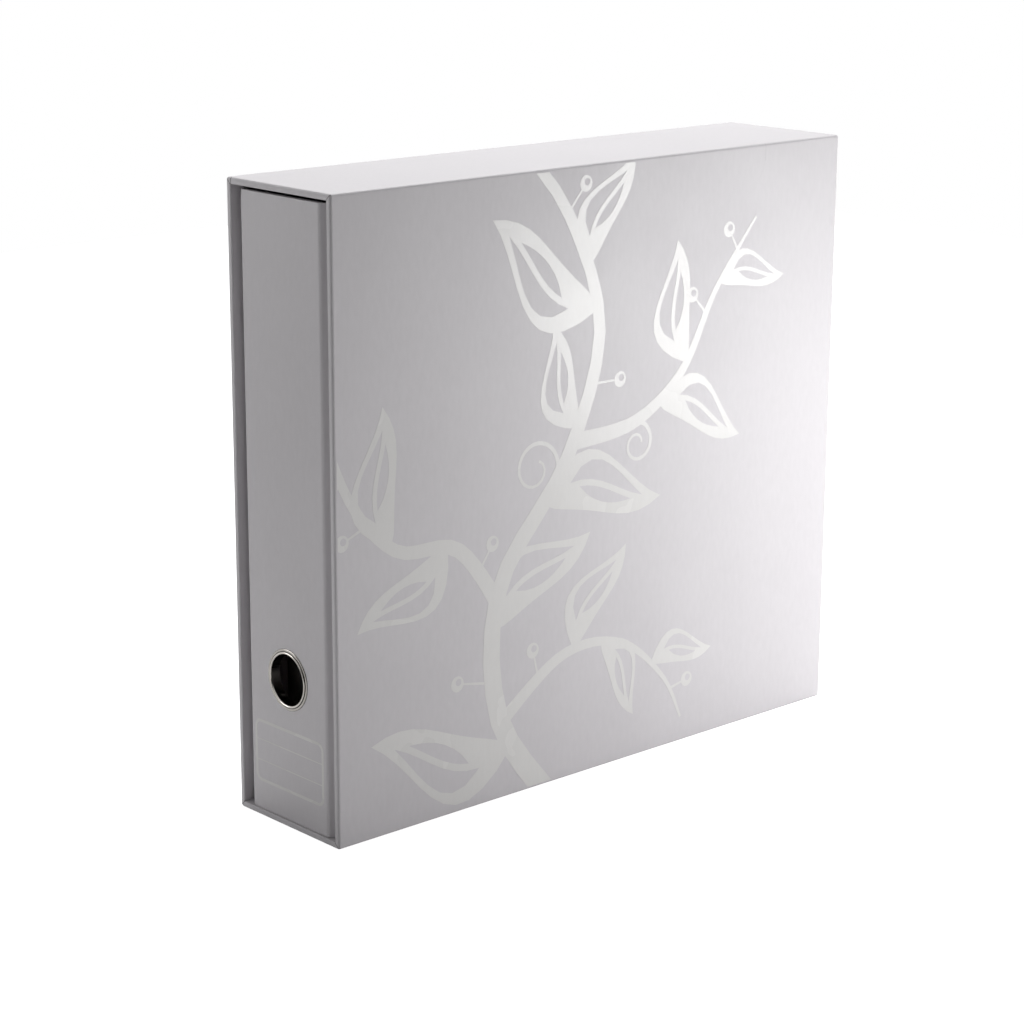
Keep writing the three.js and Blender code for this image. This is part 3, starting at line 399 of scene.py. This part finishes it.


# The finger ring's painted light: a painted highlight on the roll, painted shade in the groove
# outside it and at the rim, and the flange painted dimmer in place of its reflections
def ring_painted_light(tree, place):
    low, high = corners("finger_ring")
    centred = fill(node(tree, "ShaderNodeMapping"), Scale=(1.0, 0.0, 1.0))
    centre = (-(low.x + high.x) / 2, 0.0, -(low.z + high.z) / 2)
    centred.inputs["Location"].default_value = centre
    tree.links.new(place, centred.inputs["Vector"])
    reach = node(tree, "ShaderNodeVectorMath", operation="LENGTH")
    tree.links.new(centred.outputs["Vector"], reach.inputs[0])
    radius = reach.outputs["Value"]
    groove_radius = HOLE + PAINTED_DIM_FROM * ROLL
    rim_radius = HOLE + FLANGE
    painted_highlight = spread(tree, radius, HOLE + PAINTED_HIGHLIGHT_TO * ROLL, groove_radius, 1.0, PAINTED_DIM_NICKEL)
    painted_groove_shade = on_line(tree, calculate(tree, "SUBTRACT", radius, groove_radius), PAINTED_GROOVE_SHADE_WIDTH)
    painted_rim_shade = spread(tree, radius, rim_radius - PAINTED_RIM_SHADE_WIDTH, rim_radius, 1.0, PAINTED_RIM_SHADE)
    return all_of(tree, painted_highlight, spread(tree, painted_groove_shade, 0.0, 1.0, 1.0, PAINTED_GROOVE_SHADE), painted_rim_shade)


def nickel_material(name, painted_light=False):
    material, tree, shader = new_material(name)
    place = object_coordinates(tree)
    scuffs = noise(tree, place, *SCUFFS)
    shade = spread(tree, scuffs, *SCUFF_SHADE_RANGE, *SCUFF_SHADE)
    if painted_light:
        # The ring's colour carries a painted highlight on the roll and painted shade in the groove,
        # at the rim and over the flange
        shade = calculate(tree, "MULTIPLY", shade, ring_painted_light(tree, place))
    rough = spread(tree, scuffs, *SCUFF_ROUGHNESS_RANGE, *SCUFF_ROUGHNESS)
    shader.inputs["Metallic"].default_value = 1.0
    tree.links.new(rough, shader.inputs["Roughness"])
    tree.links.new(shaded(tree, NICKEL, shade), shader.inputs["Base Color"])
    return material


SATIN = paper_material("satin_paper", SATIN_PAPER)
CASE_SATIN = paper_material("satin_paper_folded", SATIN_PAPER, folded=True)
POLISHED_NICKEL = nickel_material("polished_nickel")
# The ring's nickel, with a painted highlight and painted shade in its colour
RING_NICKEL_PAINTED = nickel_material("finger_ring_nickel_painted_light", painted_light=True)

FINISH_OF_SLOT = {
    "satin_paper": SATIN,
    "gloss_print": paper_material("gloss_print", GLOSS_PRINT),
    "lining_paper": paper_material("lining_paper", LINING_PAPER),
    "grey_board": paper_material("grey_board", GREY_BOARD),
    "nickel": POLISHED_NICKEL,
}


def dress_nodes():
    for entry in frame["record"]["subparts"]:
        for slot in NODES[entry["node"]].material_slots:
            slot.material = FINISH_OF_SLOT[entry["material_slot"]]
    NODES["slipcase_wrap"].material_slots[0].material = CASE_SATIN


dress_nodes()


# Making and finishing pieces
def deselect():
    if bpy.context.object and bpy.context.object.mode != "OBJECT":
        bpy.ops.object.mode_set(mode="OBJECT")
    bpy.ops.object.select_all(action="DESELECT")


def pick(piece):
    deselect()
    piece.select_set(True)
    bpy.context.view_layer.objects.active = piece


# A copy of a node's solid, merged, with its flat faces made whole
def welded_copy(node_name, name):
    mesh = NODES[node_name].data.copy()
    mesh.materials.clear()
    piece = bpy.data.objects.new(name, mesh)
    bpy.context.scene.collection.objects.link(piece)
    pick(piece)
    bpy.ops.object.mode_set(mode="EDIT")
    bpy.ops.mesh.select_all(action="SELECT")
    bpy.ops.mesh.remove_doubles(threshold=WELD)
    bpy.ops.mesh.dissolve_limited(angle_limit=math.radians(FLAT_ANGLE))
    bpy.ops.mesh.select_all(action="DESELECT")
    bpy.ops.object.mode_set(mode="OBJECT")
    return piece


def select_edges(piece, wanted):
    pick(piece)
    bpy.ops.object.mode_set(mode="EDIT")
    bpy.ops.mesh.select_mode(type="EDGE")
    bpy.ops.mesh.select_all(action="DESELECT")
    shape = bmesh.from_edit_mesh(piece.data)
    for edge in shape.edges:
        edge.select_set(wanted(edge.verts[0].co, edge.verts[1].co))
    bmesh.update_edit_mesh(piece.data)


def soft_edges(piece, width, segments, angle):
    pick(piece)
    bevel = piece.modifiers.new("soft_edges", "BEVEL")
    bevel.width = width
    bevel.segments = segments
    bevel.limit_method = "ANGLE"
    bevel.angle_limit = math.radians(angle)
    bevel.use_clamp_overlap = True
    bpy.ops.object.modifier_apply(modifier=bevel.name)


def finish(piece, material, body, replaced, smooth_angle):
    pick(piece)
    bpy.ops.object.shade_smooth_by_angle(angle=math.radians(smooth_angle))
    flats = piece.modifiers.new("true_flats", "WEIGHTED_NORMAL")
    flats.keep_sharp = True
    bpy.ops.object.modifier_apply(modifier=flats.name)
    piece.data.materials.append(material)
    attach(piece, body)
    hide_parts(replaced)


# The binder's paper, with its hinge folds rounded
def make_binder_paper():
    low, high = corners("cover_wrap")
    spine_fold = (high.x - HINGE_BEVEL, low.y)
    cover_fold = (high.x, low.y + HINGE_BEVEL)

    def on_fold(a, b):
        upright = abs(a.x - b.x) < TOUCH and abs(a.y - b.y) < TOUCH
        return upright and any(
            abs(abs(a.x) - x) < TOUCH and abs(a.y - y) < TOUCH for x, y in (spine_fold, cover_fold)
        )

    paper = welded_copy("cover_wrap", "binder_paper")
    select_edges(paper, on_fold)
    bpy.ops.mesh.bevel(
        offset=HINGE_FOLD,
        offset_type="OFFSET",
        segments=HINGE_FOLD_STEPS,
        profile=0.5,
        affect="EDGES",
    )
    bpy.ops.object.mode_set(mode="OBJECT")
    finish(paper, SATIN, "binder", "cover_wrap", PAPER_SMOOTH_ANGLE)


# A closed section of (radius, depth behind the spine's face), spun round the finger hole
def spun(name, section, middle):
    deselect()
    bpy.ops.mesh.primitive_circle_add(vertices=len(section), radius=1.0, fill_type="NOTHING")
    ring = bpy.context.object
    ring.name = name
    for corner, (radius, depth) in zip(ring.data.vertices, section):
        corner.co = middle + Vector((radius, depth, 0.0))
    bpy.ops.object.mode_set(mode="EDIT")
    bpy.ops.mesh.select_all(action="SELECT")
    bpy.ops.mesh.spin(steps=RING_STEPS, angle=2 * math.pi, center=middle, axis=(0, 1, 0))
    bpy.ops.mesh.select_all(action="SELECT")
    bpy.ops.mesh.remove_doubles(threshold=WELD)
    bpy.ops.mesh.normals_make_consistent(inside=False)
    bpy.ops.object.mode_set(mode="OBJECT")
    return ring


def arc(middle, radii, start, end, steps):
    for step in range(steps + 1):
        angle = math.radians(start + (end - start) * step / steps)
        yield (middle[0] + radii[0] * math.cos(angle), middle[1] - radii[1] * math.sin(angle))


# The eyelet: barrel, rolled rim with a groove outside it, crowned flange, and the curl behind
def make_finger_ring():
    low, high = corners("finger_ring")
    middle = Vector(((low.x + high.x) / 2, low.y + RIM_STAND, (low.z + high.z) / 2))
    flange = (high.x - low.x) / 2
    depth = high.y - middle.y
    barrel = HOLE + BARREL
    section = [
        (barrel, depth - CURL_DEPTH),
        *arc((barrel + CURL_INSET, depth - CURL[1]), CURL, 90, -60, 5),
        (HOLE + BARREL_CHAMFER, depth),
        (HOLE, depth - CURL[1]),
        *arc((HOLE + ROLL, ROLL - RIM_STAND), (ROLL, ROLL), 180, 10, 14),
        *arc((flange - CROWN[0], -CROWN_RISE), CROWN, 120, 0, 8),
        (flange, 0.0),
        (barrel, 0.0),
    ]
    ring = spun("finger_ring_polished", section, middle)
    finish(ring, RING_NICKEL_PAINTED, "binder", "finger_ring", RING_SMOOTH_ANGLE)


# The other metal pieces keep their shapes and get soft, smooth edges
def make_metal_pieces():
    for entry in frame["record"]["subparts"]:
        name = entry["node"]
        if entry["material_slot"] != "nickel" or name == "finger_ring":
            continue
        piece = welded_copy(name, name + "_soft")
        soft_edges(piece, *SOFT_METAL.get(name.rstrip(COUNTED), PLAIN_METAL))
        finish(piece, POLISHED_NICKEL, BODY_OF_NODE[name], name, METAL_SMOOTH_ANGLE)


make_binder_paper()
make_finger_ring()
make_metal_pieces()


# 1 for a ray that reflects or passes through, which shows what stands behind
def mirrored_rays(tree, path):
    passing = path.outputs["Is Transmission Ray"]
    return calculate(tree, "MAXIMUM", path.outputs["Is Glossy Ray"], passing)


# The floor is white to the camera; lamps light it, so reflections need little more
def floor_glow(tree):
    path = node(tree, "ShaderNodeLightPath")
    mirrored = calculate(tree, "MULTIPLY", mirrored_rays(tree, path), FLOOR_MIRRORED_GLOW)
    seen = calculate(tree, "MULTIPLY", path.outputs["Is Camera Ray"], FLOOR_GLOW)
    return calculate(tree, "MAXIMUM", seen, mirrored)


def make_floor():
    deselect()
    bpy.ops.mesh.primitive_plane_add(size=FLOOR_SIDE, location=(0, 0, 0))
    floor = bpy.context.object
    floor.name = "floor"
    material, tree, shader = new_material("white_floor")
    shader.inputs["Base Color"].default_value = (FLOOR_COLOUR,) * 3 + (1.0,)
    shader.inputs["Roughness"].default_value = FLOOR_ROUGHNESS
    shader.inputs["Specular IOR Level"].default_value = FLOOR_SPECULAR
    shader.inputs["Emission Color"].default_value = WHITE
    tree.links.new(floor_glow(tree), shader.inputs["Emission Strength"])
    floor.data.materials.append(material)


# White to the camera, full in reflections and soft as light, and dark towards one side
def make_world():
    world = bpy.data.worlds.new("studio")
    world.use_nodes = True
    bpy.context.scene.world = world
    tree = world.node_tree
    background = tree.nodes["Background"]
    background.inputs["Color"].default_value = WHITE
    direction = node(tree, "ShaderNodeTexCoord").outputs["Generated"]
    facing = node(tree, "ShaderNodeVectorMath", operation="DOT_PRODUCT")
    facing.inputs[1].default_value = DARK_SIDE
    tree.links.new(direction, facing.inputs[0])
    walls = spread(tree, facing.outputs["Value"], *DARK_SIDE_RANGE, 1.0, DARK_SIDE_SHARE)
    parts = node(tree, "ShaderNodeSeparateXYZ")
    tree.links.new(direction, parts.inputs["Vector"])
    ceiling = spread(tree, parts.outputs["Z"], *CEILING_RANGE, 0.0, 1.0)
    walls = calculate(tree, "MAXIMUM", walls, ceiling)
    path = node(tree, "ShaderNodeLightPath")
    strength = calculate(tree, "MULTIPLY", mirrored_rays(tree, path), 1.0 - ROOM_LIGHT)
    strength = calculate(tree, "ADD", strength, ROOM_LIGHT)
    strength = calculate(tree, "MULTIPLY", strength, walls)
    strength = calculate(tree, "MAXIMUM", strength, path.outputs["Is Camera Ray"])
    tree.links.new(strength, background.inputs["Strength"])


def make_lamp(name, place, target, size, power, spread_angle):
    data = bpy.data.lights.new(name, "AREA")
    data.shape = "RECTANGLE"
    data.size, data.size_y = size
    data.energy = power
    data.spread = math.radians(spread_angle)
    lamp = bpy.data.objects.new(name, data)
    bpy.context.scene.collection.objects.link(lamp)
    lamp.visible_camera = False
    aim = Vector(target) - Vector(place)
    turn = aim.to_track_quat("-Z", "Y").to_matrix().to_4x4()
    lamp.matrix_world = Matrix.Translation(place) @ turn


make_floor()
make_world()
for lamp_values in LAMPS:
    make_lamp(*lamp_values)

bpy.context.scene.view_settings.view_transform = "Standard"
